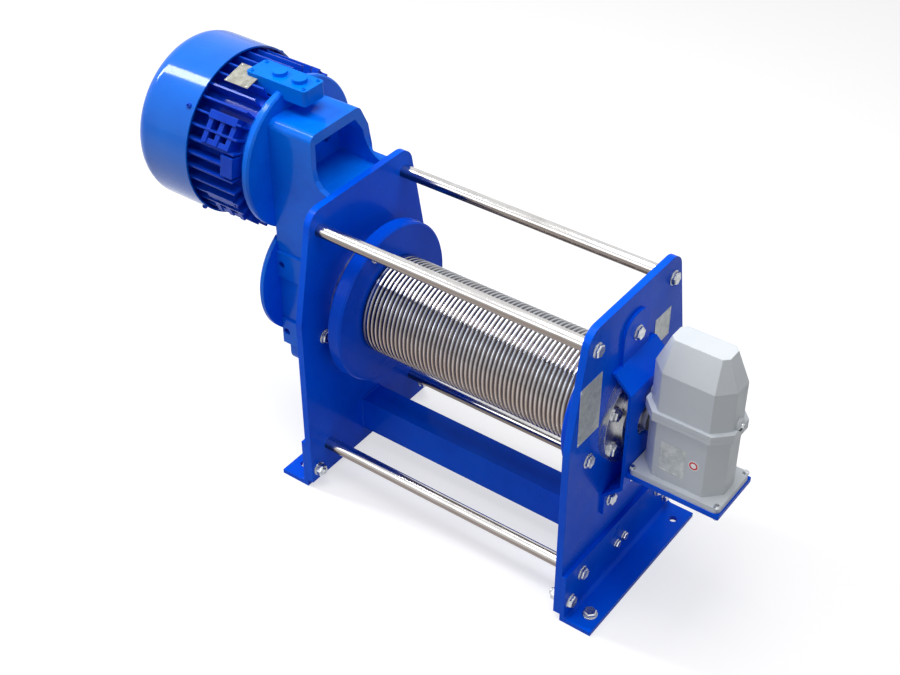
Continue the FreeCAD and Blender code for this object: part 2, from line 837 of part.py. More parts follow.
def motor_flange():
    """Flange on the gearbox with the motor's end shield, cut flat under the terminal box."""
    edge = s.flange_chamfer
    rim = s.motor_flange_diameter / 2
    shield = s.end_shield_diameter / 2
    end = -s.motor_flange_length - s.end_shield_length
    body = turned_body("motor_flange", [
        (0, 0),
        (end, 0),
        (end, shield - 2 * edge),
        (end + 2 * edge, shield),
        (-s.motor_flange_length, shield),
        (-s.motor_flange_length, rim - edge),
        (edge - s.motor_flange_length, rim),
        (-edge, rim),
        (0, rim - edge),
    ])
    cut_box_seat(body, case_back, s.fin_height * 2)
    return finish_piece(body, "motor_flange", (case_back, 0, s.motor_axis))


motor_flange()


def add_slab(sketch, angle, side, low, high, outer):
    """A slab on the motor's core, square to the radius at an angle above the horizontal."""
    across = side * round(math.cos(math.radians(angle)), 6)
    up = round(math.sin(math.radians(angle)), 6)
    inner = s.motor_core_diameter / 2 - s.seat_thickness
    corners = []
    for radius, shift in ((inner, low), (outer, low), (outer, high), (inner, high)):
        shift = size(shift)
        corners.append((radius * across - shift * (side * up), radius * up + shift * (side * across)))
    add_polygon(sketch, corners)


def motor_frame():
    """Cast frame: a round core with cooling fins, cast seats for feet and a terminal box seat."""
    body = new_body("motor_frame")
    core = new_sketch(body, "YZ_Plane")
    add_circle(core, 0, 0, s.motor_core_diameter)
    pad(body, core, s.motor_core_length, backwards=True)
    seat_places = [(angle, side) for angle in SEAT_ANGLES for side in (-1, 1)]
    bars = new_sketch(body, "YZ_Plane", -s.seat_start)
    for angle, side in seat_places:
        add_slab(bars, angle, side, -0.5 * s.seat_thickness, s.seat_thickness, fin_tip)
        add_slab(bars, angle, side, s.seat_window_depth - s.seat_width,
                 s.seat_window_depth + s.seat_thickness - s.seat_width, fin_tip - s.fin_height / 4)
    pad(body, bars, s.seat_length, backwards=True)
    web_pitch = (s.seat_length - s.seat_thickness) / 2
    for number in range(3):
        webs = new_sketch(body, "YZ_Plane", -s.seat_start - web_pitch * number)
        for angle, side in seat_places:
            add_slab(webs, angle, side, s.seat_window_depth - s.seat_width, 0,
                     fin_tip - s.fin_height / 6)
        pad(body, webs, s.seat_thickness, backwards=True)
    bosses = new_sketch(body, "YZ_Plane")
    for side in (-1, 1):
        add_slab(bosses, BOSS_ANGLE, side, -s.boss_width / 2, s.boss_width / 2, fin_tip)
    pad(body, bosses, s.boss_length, backwards=True)
    fin = new_sketch(body, "YZ_Plane")
    half = s.fin_thickness / 2
    add_box(fin, -half, half, s.motor_core_diameter / 2 - s.fin_height / 2, fin_tip)
    ridge = pad(body, fin, s.motor_core_length, backwards=True)
    ring = body.newObject("PartDesign::PolarPattern", "motor_fins")
    ring.Originals = [ridge]
    ring.Axis = (core, ["N_Axis"])
    ring.Angle = 360
    bind(ring, "Occurrences", s.fin_count)
    body.Tip = ring
    cut_box_seat(body, shield_end, s.fin_height * 2)
    return finish_piece(body, "motor_frame", (shield_end, 0, s.motor_axis))


motor_frame()
turned("motor_rear_shield", [
    (0, 0), (-s.rear_shield_length, 0),
    (-s.rear_shield_length, s.cowl_diameter / 2 - s.cowl_wall),
    (0, s.cowl_diameter / 2 - s.cowl_wall),
], (core_end, 0, s.motor_axis))


def fan_cowl():
    """Thin sheet cowl, open towards the fins, with a rounded end and air slots in it."""
    body = new_body("fan_cowl")
    profile = new_sketch(body, "XZ_Plane")
    outer = s.cowl_diameter / 2
    inner = outer - s.cowl_wall
    add_polygon(profile, [
        (0, inner),
        (0, outer),
        (-s.cowl_length, outer),
        (-s.cowl_length, 0),
        (s.cowl_wall - s.cowl_length, 0),
        (s.cowl_wall - s.cowl_length, inner),
    ])
    turn = body.newObject("PartDesign::Revolution", "cowl_turn")
    turn.Profile = profile
    turn.ReferenceAxis = (profile, ["H_Axis"])
    turn.Angle = 360
    end = -s.cowl_length.value
    round_edges(body, s.cowl_round, lambda edge: edge.Curve.TypeId == "Part::GeomCircle"
                and abs(edge.CenterOfMass.x - end) < 1e-3 and edge.Curve.Radius > inner.value)
    round_edges(body, s.cowl_round - s.cowl_wall, lambda edge: edge.Curve.TypeId == "Part::GeomCircle"
                and abs(edge.CenterOfMass.x - end - s.cowl_wall.value) < 1e-3
                and edge.Curve.Radius > inner.value - 1)
    slot = new_sketch(body, "YZ_Plane", -s.cowl_length)
    half = s.grille_slot_width / 2
    add_box(slot, -half, half, s.grille_slot_start, s.grille_slot_end)
    cut = pocket(body, slot, 2 * s.cowl_wall, backwards=True)
    grille = body.newObject("PartDesign::PolarPattern", "cowl_grille")
    grille.Originals = [cut]
    grille.Axis = (slot, ["N_Axis"])
    grille.Angle = 360
    bind(grille, "Occurrences", s.grille_slot_count)
    body.Tip = grille
    return finish_piece(body, "fan_cowl", (cowl_rim, 0, s.motor_axis))


fan_cowl()


def rounded_block(label, corner, length, width, height, radius):
    """An upright block from its low corner, with its four vertical edges rounded."""
    body = new_body(label)
    base = new_sketch(body, "XY_Plane")
    add_box(base, 0, length, 0, width)
    pad(body, base, height)
    round_edges(body, radius, lambda edge: along(edge, 2))
    return finish_piece(body, label, corner)


lid_base = s.box_base + s.box_height
box_end = s.box_start + s.box_length
box_middle = s.box_front + s.box_depth / 2
rounded_block("terminal_box", (s.box_start, s.box_front, s.box_base),
              s.box_length, s.box_depth, s.box_height, s.box_corner_radius)
rounded_block("terminal_box_lid", (s.box_start, s.box_front, lid_base),
              s.box_length, s.box_depth, s.box_lid_thickness, s.box_corner_radius)

plugs = []
for number in (1, 2):
    plug = doc.addObject("Part::Cylinder", f"plug_{number}")
    bind(plug, "Radius", s.plug_diameter / 2)
    bind(plug, "Height", s.plug_height)
    bind(plug, "Placement.Base.x", box_end - s.plug_pitch * (number - 0.25))
    bind(plug, "Placement.Base.y", box_middle)
    bind(plug, "Placement.Base.z", lid_base + s.box_lid_thickness)
    plugs.append(plug)
plug_pair = doc.addObject("Part::Compound", "plug_pair")
plug_pair.Links = plugs
finish_piece(plug_pair, "terminal_box_plugs")


# ---------------------------------------------------------------- limit switch on its bracket

web = s.bracket_stand_off
sheet_shift = s.bracket_sheet * 0.414214


def switch_bracket():
    """Bent sheet: a rounded tab on the plate, a web standing off it and a return to two bolts."""
    body = new_body("switch_bracket")
    thick = s.bracket_sheet
    bend_top = s.bracket_bend_top
    bend_low = s.bracket_bend_low
    section = new_sketch(body, "XZ_Plane")
    add_polygon(section, [
        (0, s.bracket_low_edge),
        (thick, s.bracket_low_edge),
        (thick, bend_low - sheet_shift),
        (web + thick, bend_low + web - sheet_shift),
        (web + thick, bend_top - web + sheet_shift),
        (thick, bend_top + sheet_shift),
        (thick, s.bracket_top_edge),
        (0, s.bracket_top_edge),
        (0, bend_top),
        (web, bend_top - web),
        (web, bend_low + web),
        (0, bend_low),
    ])
    pad(body, section, s.bracket_width, midplane=True)
    sides_cut = new_sketch(body, "YZ_Plane")
    half = s.bracket_tab_width / 2
    for side in (-1, 1):
        near, far = side * half, side * s.bracket_width
        add_box(sides_cut, near, far, bend_top, s.bracket_top_edge + s.bolt_diameter)
    pocket(body, sides_cut, 2 * s.bracket_stand_off, midplane=True)
    top = s.bracket_top_edge.value
    round_edges(body, half - s.bracket_sheet,
                lambda edge: along(edge, 0) and abs(edge.CenterOfMass.z - top) < 1e-3)
    holes = new_sketch(body, "YZ_Plane")
    add_circle(holes, 0, s.drum_axis, s.bracket_bore)
    for y, z in bracket_bolts:
        add_circle(holes, y, z, s.bolt_hole)
    pocket(body, holes, 2 * (web + thick), midplane=True)
    return finish_piece(body, "switch_bracket", (plate_face, 0, 0))


switch_bracket()
on_bracket = plate_face + s.bracket_sheet
bolt_group("bracket_bolts", [(on_bracket,) + place for place in bracket_bolts], 1,
           s.bracket_sheet + s.plate_thickness)

web_face = plate_face + web + s.bracket_sheet
switch_start = web_face + s.switch_gap
shelf_base = s.shelf_top - s.shelf_thickness
rounded_block("switch_shelf", (web_face, -s.shelf_width / 2, shelf_base),
              s.switch_gap + s.switch_length + s.shelf_overhang, s.shelf_width,
              s.shelf_thickness, s.shelf_overhang)


def add_octagon(sketch, length, width, cut, inset=0, middle=0):
    """A rectangle centred at x = middle with its four corners cut, all drawn in by inset."""
    x = length / 2 - inset
    y = width / 2 - inset
    low, high = middle - x, middle + x
    add_polygon(sketch, [
        (low + cut, -y), (high - cut, -y), (high, cut - y), (high, y - cut),
        (high - cut, y), (low + cut, y), (low, y - cut), (low, cut - y),
    ])


def switch_base():
    """Housing of the limit switch: a foot flange, an eight-sided body and a rim under the cover."""
    body = new_body("switch_base")
    half = s.switch_width / 2
    inset = s.switch_body_inset
    foot = new_sketch(body, "XY_Plane")
    add_box(foot, 0, s.switch_length, -half, half)
    pad(body, foot, s.switch_flange_height)
    round_edges(body, s.switch_flange_round, lambda edge: along(edge, 2))
    middle = s.switch_length / 2
    walls = new_sketch(body, "XY_Plane")
    add_octagon(walls, s.switch_length, s.switch_width, s.cover_chamfer, inset, middle)
    pad(body, walls, s.switch_flange_height + s.switch_body_height)
    rim = new_sketch(body, "XY_Plane", s.switch_flange_height + s.switch_body_height - s.rim_height)
    add_octagon(rim, s.switch_length, s.switch_width, s.cover_chamfer, inset - s.rim_reach, middle)
    pad(body, rim, s.rim_height)
    holes = new_sketch(body, "XY_Plane")
    for x, y in switch_bolt_places:
        add_circle(holes, x, y, s.switch_bolt_hole)
    pocket(body, holes, s.switch_flange_height, backwards=True)
    bore = new_sketch(body, "YZ_Plane", inset)
    add_circle(bore, 0, s.drum_axis - s.shelf_top, s.input_shaft_diameter + 2 * s.running_clearance)
    pocket(body, bore, s.input_bore_depth, backwards=True)
    return finish_piece(body, "switch_base", (switch_start, 0, s.shelf_top))


corner = s.switch_body_inset / 2
switch_bolt_places = [(x, side * (s.switch_width / 2 - corner))
                      for x in (corner, s.switch_length - corner) for side in (-1, 1)]
switch_base()

cover_base = s.shelf_top + s.switch_flange_height + s.switch_body_height


def switch_cover():
    """Cover with a rim, cut corners and a faceted roof."""
    body = new_body("switch_cover")
    length = s.switch_length - 2 * s.switch_body_inset
    width = s.switch_width - 2 * s.switch_body_inset
    rim = new_sketch(body, "XY_Plane")
    grow = 2 * s.rim_reach
    add_octagon(rim, length + grow, width + grow, s.cover_chamfer)
    pad(body, rim, s.rim_height)
    walls = new_sketch(body, "XY_Plane")
    add_octagon(walls, length, width, s.cover_chamfer)
    pad(body, walls, s.cover_wall_height)
    eaves = new_sketch(body, "XY_Plane", s.cover_wall_height)
    add_octagon(eaves, length, width, s.cover_chamfer)
    ridge = new_sketch(body, "XY_Plane", s.cover_wall_height + s.cover_roof_height)
    add_octagon(ridge, length, width, s.cover_chamfer / 3, s.cover_roof_inset)
    roof = body.newObject("PartDesign::AdditiveLoft", "cover_roof")
    roof.Profile = eaves
    roof.Sections = [ridge]
    roof.Ruled = True
    middle = switch_start + s.switch_length / 2
    return finish_piece(body, "switch_cover", (middle, 0, cover_base))


switch_cover()


def upright_bolts(label, places, base, diameter, flats, height, grip):
    """Bolts standing on one level, heads up, as one piece."""
    bolts = []
    for number, (x, y) in enumerate(places, start=1):
        head = doc.addObject("Part::Prism", f"{label}_head_{number}")
        head.Polygon = 6
        bind(head, "Circumradius", flats / 1.7320508)
        bind(head, "Height", height)
        shank = doc.addObject("Part::Cylinder", f"{label}_shank_{number}")
        bind(shank, "Radius", diameter / 2)
        bind(shank, "Height", grip + height / 2)
        for part, z in ((head, base), (shank, base - grip)):
            for axis, amount in zip("xyz", (x, y, z)):
                bind(part, f"Placement.Base.{axis}", amount)
        whole = doc.addObject("Part::MultiFuse", f"{label}_{number}")
        whole.Shapes = [head, shank]
        bolts.append(whole)
    group = doc.addObject("Part::Compound", f"group_{label}")
    group.Links = bolts
    return finish_piece(group, label)


upright_bolts("switch_bolts", [(switch_start + x, y) for x, y in switch_bolt_places],
              s.shelf_top + s.switch_flange_height, s.switch_bolt_diameter, s.switch_bolt_flats,
              s.switch_bolt_head, s.switch_flange_height)


# ---------------------------------------------------------------- check and write

doc.recompute()
for thing in doc.Objects:
    if "Invalid" in thing.State or "Error" in thing.State:
        raise RuntimeError(f"{thing.Name} ({thing.Label}) failed: {thing.State}")

os.makedirs("parts", exist_ok=True)
for piece in pieces:
    if piece.Shape.isNull() or not piece.Shape.isValid():
        raise RuntimeError(f"{piece.Label} has no valid shape")
    piece.Shape.exportStep(f"parts/{piece.Label}.step")
    print(f"{piece.Label}: {len(piece.Shape.Solids)} solid(s), {piece.Shape.Volume / 1000:.1f} cm3")
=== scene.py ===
"""Looks of the wire rope winch: materials, rope groove, bolts, labels, welds, light and camera.

Metres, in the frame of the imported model: X along the drum, -Y to the front, +Z up.
"""
import json
import math
import random

import bmesh
import bpy
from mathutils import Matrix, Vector


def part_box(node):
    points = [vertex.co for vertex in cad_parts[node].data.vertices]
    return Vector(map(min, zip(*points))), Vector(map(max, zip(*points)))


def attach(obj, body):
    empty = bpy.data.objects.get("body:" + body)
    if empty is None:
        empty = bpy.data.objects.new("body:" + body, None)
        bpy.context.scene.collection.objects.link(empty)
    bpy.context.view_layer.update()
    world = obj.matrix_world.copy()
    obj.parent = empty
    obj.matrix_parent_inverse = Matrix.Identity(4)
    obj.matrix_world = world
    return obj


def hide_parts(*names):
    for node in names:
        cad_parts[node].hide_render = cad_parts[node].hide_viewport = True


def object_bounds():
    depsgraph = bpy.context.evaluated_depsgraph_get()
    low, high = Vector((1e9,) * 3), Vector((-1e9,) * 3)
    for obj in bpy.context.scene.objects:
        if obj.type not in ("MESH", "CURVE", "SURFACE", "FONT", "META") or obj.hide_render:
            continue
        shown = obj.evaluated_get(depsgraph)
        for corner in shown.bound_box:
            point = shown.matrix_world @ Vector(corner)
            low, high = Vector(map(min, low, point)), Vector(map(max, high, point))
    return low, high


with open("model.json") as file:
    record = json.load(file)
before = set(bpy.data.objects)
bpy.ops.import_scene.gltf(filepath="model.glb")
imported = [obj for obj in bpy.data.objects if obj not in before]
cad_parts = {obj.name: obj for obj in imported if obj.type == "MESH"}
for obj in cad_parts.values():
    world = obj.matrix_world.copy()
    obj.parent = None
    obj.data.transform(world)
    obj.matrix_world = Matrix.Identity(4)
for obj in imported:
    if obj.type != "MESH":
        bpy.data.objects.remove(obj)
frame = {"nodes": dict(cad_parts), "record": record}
cad_box = [list(corner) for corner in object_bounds()]
nodes = frame["nodes"]
record = frame["record"]
random.seed(7)

X, Y, Z = Vector((1, 0, 0)), Vector((0, 1, 0)), Vector((0, 0, 1))
MM = 0.001


def box(node):
    """The lowest and highest corner of a node at rest."""
    low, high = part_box(node)
    return Vector(low), Vector(high)


def middle(node):
    low, high = box(node)
    return (low + high) / 2


def radius_of(node):
    """The radius of a round node whose axis runs along X."""
    low, high = box(node)
    return max(high.y - low.y, high.z - low.z) / 2


# ---------------------------------------------------------------- materials

class Finish:
    """A material's node tree, with short calls for the nodes that the finishes share."""

    def __init__(self, name):
        self.name = name
        self.material = bpy.data.materials.new(name)
        self.material.use_nodes = True
        self.tree = self.material.node_tree
        self.shader = self.tree.nodes["Principled BSDF"]
        self.place = self.node("TexCoord").outputs["Object"]

    def node(self, kind, **settings):
        made = self.tree.nodes.new("ShaderNode" + kind)
        for key, value in settings.items():
            setattr(made, key, value)
        return made

    def link(self, source, target):
        self.tree.links.new(source, target)

    def feed(self, key, source):
        """Feeds one of the shader's inputs from a socket."""
        self.link(source, self.shader.inputs[key])

    def fed_by(self, key):
        """The socket that feeds one of the shader's inputs."""
        return self.shader.inputs[key].links[0].from_socket

    def stretched(self, stretch):
        """Object coordinates scaled by stretch, for grain that runs one way."""
        mapping = self.node("Mapping")
        mapping.inputs["Scale"].default_value = stretch
        self.link(self.place, mapping.inputs["Vector"])
        return mapping.outputs["Vector"]

    def noise(self, scale, detail=3.0, roughness=0.5, stretch=None):
        made = self.node("TexNoise")
        made.inputs["Scale"].default_value = scale
        made.inputs["Detail"].default_value = detail
        made.inputs["Roughness"].default_value = roughness
        source = self.stretched(stretch) if stretch else self.place
        self.link(source, made.inputs["Vector"])
        return made.outputs["Fac"]

    def remap(self, value, low, high, to_low=0.0, to_high=1.0):
        made = self.node("MapRange", clamp=True)
        self.link(value, made.inputs["Value"])
        for key, number in (("From Min", low), ("From Max", high),
                            ("To Min", to_low), ("To Max", to_high)):
            made.inputs[key].default_value = number
        return made.outputs["Result"]

    def times(self, first, second):
        made = self.node("Math", operation="MULTIPLY")
        self.link(first, made.inputs[0])
        self.link(second, made.inputs[1])
        return made.outputs[0]

    def vectors(self, operation, first, second):
        """The outputs of a vector operation on a socket and a fixed vector."""
        made = self.node("VectorMath", operation=operation)
        made.inputs[1].default_value = second
        self.link(first, made.inputs[0])
        return made.outputs

    def blend(self, factor, first, second):
        """Colour first where factor is 0, second where it is 1; each a colour or a socket."""
        made = self.node("Mix", data_type="RGBA")
        self.link(factor, made.inputs["Factor"])
        for key, colour in ((6, first), (7, second)):
            if isinstance(colour, tuple):
                made.inputs[key].default_value = (*colour, 1)
            else:
                self.link(colour, made.inputs[key])
        return made.outputs[2]

    def rounded(self, radius):
        """A normal that rounds sharp edges to a small radius."""
        made = self.node("Bevel", samples=4)
        made.inputs["Radius"].default_value = radius
        return made.outputs["Normal"]

    def edges(self, radius):
        """1 along sharp edges, 0 on flat faces."""
        dot = self.node("VectorMath", operation="DOT_PRODUCT")
        self.link(self.rounded(radius), dot.inputs[0])
        self.link(self.node("NewGeometry").outputs["Normal"], dot.inputs[1])
        return self.remap(dot.outputs["Value"], 0.98, 0.72)

    def bump(self, height, strength, distance, under):
        """A normal that stands on the normal under it."""
        made = self.node("Bump")
        made.inputs["Strength"].default_value = strength
        made.inputs["Distance"].default_value = distance
        self.link(height, made.inputs["Height"])
        self.link(under, made.inputs["Normal"])
        return made.outputs["Normal"]

    def set(self, **numbers):
        for key, value in numbers.items():
            self.shader.inputs[key.replace("_", " ")].default_value = value


def paint(name, colour, deep, gloss=0.3, grain=0.12, coat=0.07, wear_and_highlight_share=0.5):
    """Enamel over plate: mottled towards deep, dusty in patches, worn at the edges and drawn lighter
    there as a painted highlight, with orange peel.
    """
    wear_and_highlight_colour = (0.02, 0.2, 0.6)
    edge_radius = 1.2 * MM
    finish = Finish(name)
    mottle = finish.remap(finish.noise(7, 4, 0.55), 0.35, 0.7)
    base = finish.blend(mottle, colour, deep)
    dust = finish.remap(finish.noise(60, 6, 0.7), 0.6, 0.82, 0, 0.2)
    base = finish.blend(dust, base, tuple(0.8 * c + 0.03 for c in colour))
    chips = finish.remap(finish.noise(220, 5, 0.7), 0.5, 0.62)
    # Patches along the edges: wear, plus a lighter blue there that is a painted highlight.
    worn_and_highlit = finish.times(finish.edges(edge_radius), chips)
    base = finish.blend(finish.remap(worn_and_highlit, 0, 1, 0, wear_and_highlight_share), base, wear_and_highlight_colour)
    finish.feed("Base Color", base)
    rough = finish.remap(finish.noise(25, 5, 0.6), 0.3, 0.7, gloss - 0.06, gloss + 0.12)
    finish.feed("Roughness", rough)
    peel = finish.bump(finish.noise(420, 2, 0.5), grain, 0.3 * MM, finish.rounded(edge_radius))
    waves = finish.bump(finish.noise(22, 2, 0.5), grain, 1.2 * MM, peel)
    finish.feed("Normal", waves)
    finish.set(Metallic=0.0, Specular_IOR_Level=0.03, Coat_Weight=coat, Coat_Roughness=0.08)
    return finish


def casting_paint(name, colour, deep, gloss=0.36, coat=0.22, wear_and_highlight_colour=(0.03, 0.22, 0.62)):
    """Enamel over rough cast metal: the casting's skin shows through the paint. Its edges are worn and
    drawn lighter, a painted highlight.
    """
    finish = Finish(name)
    mottle = finish.remap(finish.noise(12, 5, 0.6), 0.35, 0.7)
    base = finish.blend(mottle, colour, deep)
    chips = finish.remap(finish.noise(160, 5, 0.7), 0.45, 0.64)
    # Patches along the edges: wear, plus a lighter blue there that is a painted highlight.
    worn_and_highlit = finish.times(finish.edges(1.5 * MM), chips)
    base = finish.blend(finish.remap(worn_and_highlit, 0, 1, 0, 0.6), base, wear_and_highlight_colour)
    finish.feed("Base Color", base)
    rough = finish.remap(finish.noise(40, 5, 0.6), 0.3, 0.7, gloss - 0.08, gloss + 0.14)
    finish.feed("Roughness", rough)
    skin = finish.bump(finish.noise(300, 6, 0.65), 0.3, 0.6 * MM, finish.rounded(2 * MM))
    lumps = finish.bump(finish.noise(45, 3, 0.5), 0.22, 1.5 * MM, skin)
    finish.feed("Normal", lumps)
    finish.set(Metallic=0.0, Specular_IOR_Level=0.04, Coat_Weight=coat, Coat_Roughness=0.12)
    return finish


def steel(name, bright, dark, stretch, rough=0.28, scale=40, stain=None):
    """Bare steel whose tool marks run one way, with patches of stain or of a darker steel."""
    finish = Finish(name)
    marks = finish.noise(scale, 4, 0.6, stretch)
    base = finish.blend(finish.remap(marks, 0.35, 0.65), bright, dark)
    patches = finish.remap(finish.noise(18, 5, 0.65), 0.5, 0.75, 0, 0.5)
    base = finish.blend(patches, base, stain or tuple(0.55 * c for c in dark))
    finish.feed("Base Color", base)
    finish.feed("Roughness", finish.remap(marks, 0.3, 0.7, rough - 0.08, rough + 0.12))
    finish.feed("Normal", finish.bump(marks, 0.12, 0.15 * MM, finish.rounded(0.6 * MM)))
    finish.set(Metallic=1.0)
    return finish


def grooved_steel(name, axis_height, radius):
    """Turned steel, bright on the crests of the rope groove, with painted shade in its roots, brown on
    one side.
    """
    brown_side = (0, -0.72, -0.69)
    finish = steel(name, (0.62, 0.67, 0.75), (0.38, 0.40, 0.44), (14, 1, 1), rough=0.18, scale=30,
                   stain=(0.42, 0.33, 0.27))
    from_axis = finish.vectors("SUBTRACT", finish.place, (0, 0, axis_height))["Vector"]
    flat = finish.vectors("MULTIPLY", from_axis, (0, 1, 1))["Vector"]
    side = finish.vectors("DOT_PRODUCT", flat, brown_side)["Value"]
    # Brown towards the lower front of the barrel, in the drum's own coordinates.
    brown_side_share = finish.remap(side, 0.1 * radius, 0.75 * radius, 0, 0.75)
    base = finish.blend(brown_side_share, finish.fed_by("Base Color"), (0.42, 0.30, 0.22))
    reach = finish.node("VectorMath", operation="LENGTH")
    finish.link(flat, reach.inputs[0])
    # Painted shade: the groove's roots turn near black, darkest at their bottom.
    crest = finish.remap(reach.outputs["Value"], radius - 1.4 * MM, radius - 0.2 * MM)
    finish.feed("Base Color", finish.blend(crest, (0.05, 0.04, 0.04), base))
    return finish


def rod_steel(name):
    """Bright drawn rod, with painted shade, dark brown, on every face that doesn't look up."""
    finish = steel(name, (0.78, 0.78, 0.78), (0.60, 0.58, 0.57), (0.5, 9, 9), rough=0.12)
    normal = finish.node("SeparateXYZ")
    finish.link(finish.node("NewGeometry").outputs["Normal"], normal.inputs[0])
    # Painted shade: faces that look sideways or down turn dark brown.
    under = finish.remap(normal.outputs["Z"], 0.62, 0.2, 0, 0.9)
    finish.feed("Base Color", finish.blend(under, finish.fed_by("Base Color"), (0.20, 0.155, 0.13)))
    return finish


def powder_coat(name, colour, deep):
    """Fine-textured powder coat, a little grimy at the edges."""
    finish = Finish(name)
    base = finish.blend(finish.remap(finish.noise(12, 5, 0.6), 0.4, 0.75, 0, 0.7), colour, deep)
    patches = finish.remap(finish.noise(120, 5, 0.7), 0.45, 0.65)
    grime = finish.times(finish.edges(2 * MM), patches)
    base = finish.blend(finish.remap(grime, 0, 1, 0, 0.3), base, (0.36, 0.38, 0.40))
    finish.feed("Base Color", base)
    finish.feed("Roughness", finish.remap(finish.noise(30, 4, 0.6), 0.3, 0.7, 0.38, 0.55))
    texture = finish.bump(finish.noise(900, 3, 0.6), 0.2, 0.25 * MM, finish.rounded(1.6 * MM))
    finish.feed("Normal", texture)
    finish.set(Metallic=0.0, Specular_IOR_Level=0.3)
    return finish


def label_face(name, colour, deep, metallic=0.35):
    """Label sheet without any lettering: a dull, mottled face."""
    finish = Finish(name)
    base = finish.blend(finish.remap(finish.noise(90, 5, 0.7), 0.35, 0.65), colour, deep)
    finish.feed("Base Color", base)
    finish.set(Metallic=metallic, Roughness=0.42, Specular_IOR_Level=0.2)
    return finish


TURNED = (10, 1, 1)         # stretch of tool marks that run round X
finishes = {finish.name: finish for finish in (
    paint("frame_paint", (0.0, 0.115, 0.90), (0.0, 0.08, 0.76)),
    paint("drum_paint", (0.0, 0.085, 0.76), (0.0, 0.06, 0.62)),
    paint("cowl_paint", (0.0, 0.145, 0.70), (0.0, 0.11, 0.60), gloss=0.2, grain=0.04, coat=0.6,
          wear_and_highlight_share=0.2),
    casting_paint("gearbox_paint", (0.0, 0.17, 0.86), (0.0, 0.125, 0.72)),
    paint("box_paint", (0.0, 0.19, 0.84), (0.0, 0.14, 0.72)),
    # Painted highlight: the motor's fin edges, in patches, turn a much lighter blue.
    casting_paint("motor_paint", (0.001, 0.065, 0.60), (0.001, 0.035, 0.42), gloss=0.3, coat=0.24,
                  wear_and_highlight_colour=(0.10, 0.20, 0.75)),
    rod_steel("rod_steel"),
    grooved_steel("drum_steel", middle("drum_barrel").z, radius_of("drum_barrel")),
    steel("turned_steel", (0.62, 0.61, 0.60), (0.44, 0.43, 0.42), TURNED),
    steel("coupling_steel", (0.5, 0.5, 0.52), (0.3, 0.3, 0.32), TURNED, rough=0.35),
    steel("bearing_steel", (0.70, 0.70, 0.71), (0.50, 0.50, 0.51), TURNED, rough=0.26),
    steel("zinc_bolts", (0.68, 0.70, 0.72), (0.40, 0.42, 0.45), (3, 3, 3), rough=0.24, scale=90),
    powder_coat("switch_grey", (0.70, 0.74, 0.78), (0.64, 0.68, 0.72)),
)}
label_grey = label_face("label_grey", (0.64, 0.67, 0.66), (0.44, 0.47, 0.47))
label_worn = label_face("label_worn", (0.42, 0.42, 0.37), (0.20, 0.20, 0.17), metallic=0.0)
label_red = label_face("label_red", (0.62, 0.03, 0.04), (0.5, 0.02, 0.03))
label_pale = label_face("label_pale", (0.84, 0.84, 0.84), (0.76, 0.76, 0.76))

slot_of = {part["node"]: part["material_slot"] for part in record["subparts"]}
for name, thing in nodes.items():
    thing.data.materials.clear()
    thing.data.materials.append(finishes[slot_of[name]].material)


# ---------------------------------------------------------------- mesh helpers

def piece(name, shape, body, slot, smooth=30, finish=None):
    """Makes a bmesh a piece that rides on a body.

    It takes the slot's finish unless it is given another. Edges over smooth degrees stay sharp.
    """
    bmesh.ops.remove_doubles(shape, verts=shape.verts, dist=1e-6)
    bmesh.ops.recalc_face_normals(shape, faces=shape.faces)
    mesh = bpy.data.meshes.new(name)
    shape.to_mesh(mesh)
    shape.free()
    thing = bpy.data.objects.new(name, mesh)
    bpy.context.scene.collection.objects.link(thing)
    mesh.materials.append((finish or finishes[slot]).material)
    mesh.shade_smooth()
    mesh.set_sharp_from_angle(angle=math.radians(smooth))
    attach(thing, body)
    return thing


def across(axis):
    """Two unit vectors square to axis."""
    axis = axis.normalized()
    first = (Z if abs(axis.z) < 0.9 else X).cross(axis).normalized()
    return first, axis.cross(first)


def add_band(shape, first, second):
    """Joins two rings of as many vertices with faces."""
    for step in range(len(first)):
        after = (step + 1) % len(first)
        shape.faces.new((first[step], first[after], second[after], second[step]))


def add_turned(shape, start, axis, profile, sides, turn=0.0):
    """Adds rings of (height, radius) about axis through start; a radius of 0 closes an end."""
    first, second = across(axis)
    rings = []
    for height, radius in profile:
        centre = start + axis * height
        if radius == 0:
            rings.append([shape.verts.new(centre)])
            continue
        ring = []
        for step in range(sides):
            angle = 2 * math.pi * step / sides + turn
            ring.append(shape.verts.new(
                centre + (first * math.cos(angle) + second * math.sin(angle)) * radius))
        rings.append(ring)
    for low, high in zip(rings, rings[1:]):
        if len(low) == len(high):
            add_band(shape, low, high)
            continue
        for step in range(sides):
            after = (step + 1) % sides
            if len(low) == 1:
                shape.faces.new((low[0], high[step], high[after]))
            else:
                shape.faces.new((low[step], low[after], high[0]))


def solids(name):
    """The separate solids of a CAD node at rest, each as a list of its points."""
    shape = bmesh.new()
    shape.from_mesh(nodes[name].data)
    bmesh.ops.remove_doubles(shape, verts=shape.verts, dist=1e-5)
    left = set(shape.verts)
    found = []
    while left:
        stack = [left.pop()]
        spots = []
        while stack:
            vert = stack.pop()
            spots.append(vert.co.copy())
            for edge in vert.link_edges:
                other = edge.other_vert(vert)
                if other in left:
                    left.remove(other)
                    stack.append(other)
        found.append(sorted(spots, key=tuple))
    shape.free()
    return sorted(found, key=lambda spots: tuple(round(c, 4) for c in spots[0]))


def centre_of(spots):
    """The middle of the box round some points."""
    return Vector([(min(values) + max(values)) / 2 for values in zip(*spots)])


# ---------------------------------------------------------------- rope groove on the drum

GROOVE_PITCH = 8 * MM
GROOVE_DEPTH = 1.5 * MM
GROOVE_SHAPE = 1.3          # power of the cosine: over 1 broadens the crests
COLLAR_LENGTH = 4 * MM
COLLAR_STEP = 4 * MM
COLLAR_BEVEL = 0.5 * MM


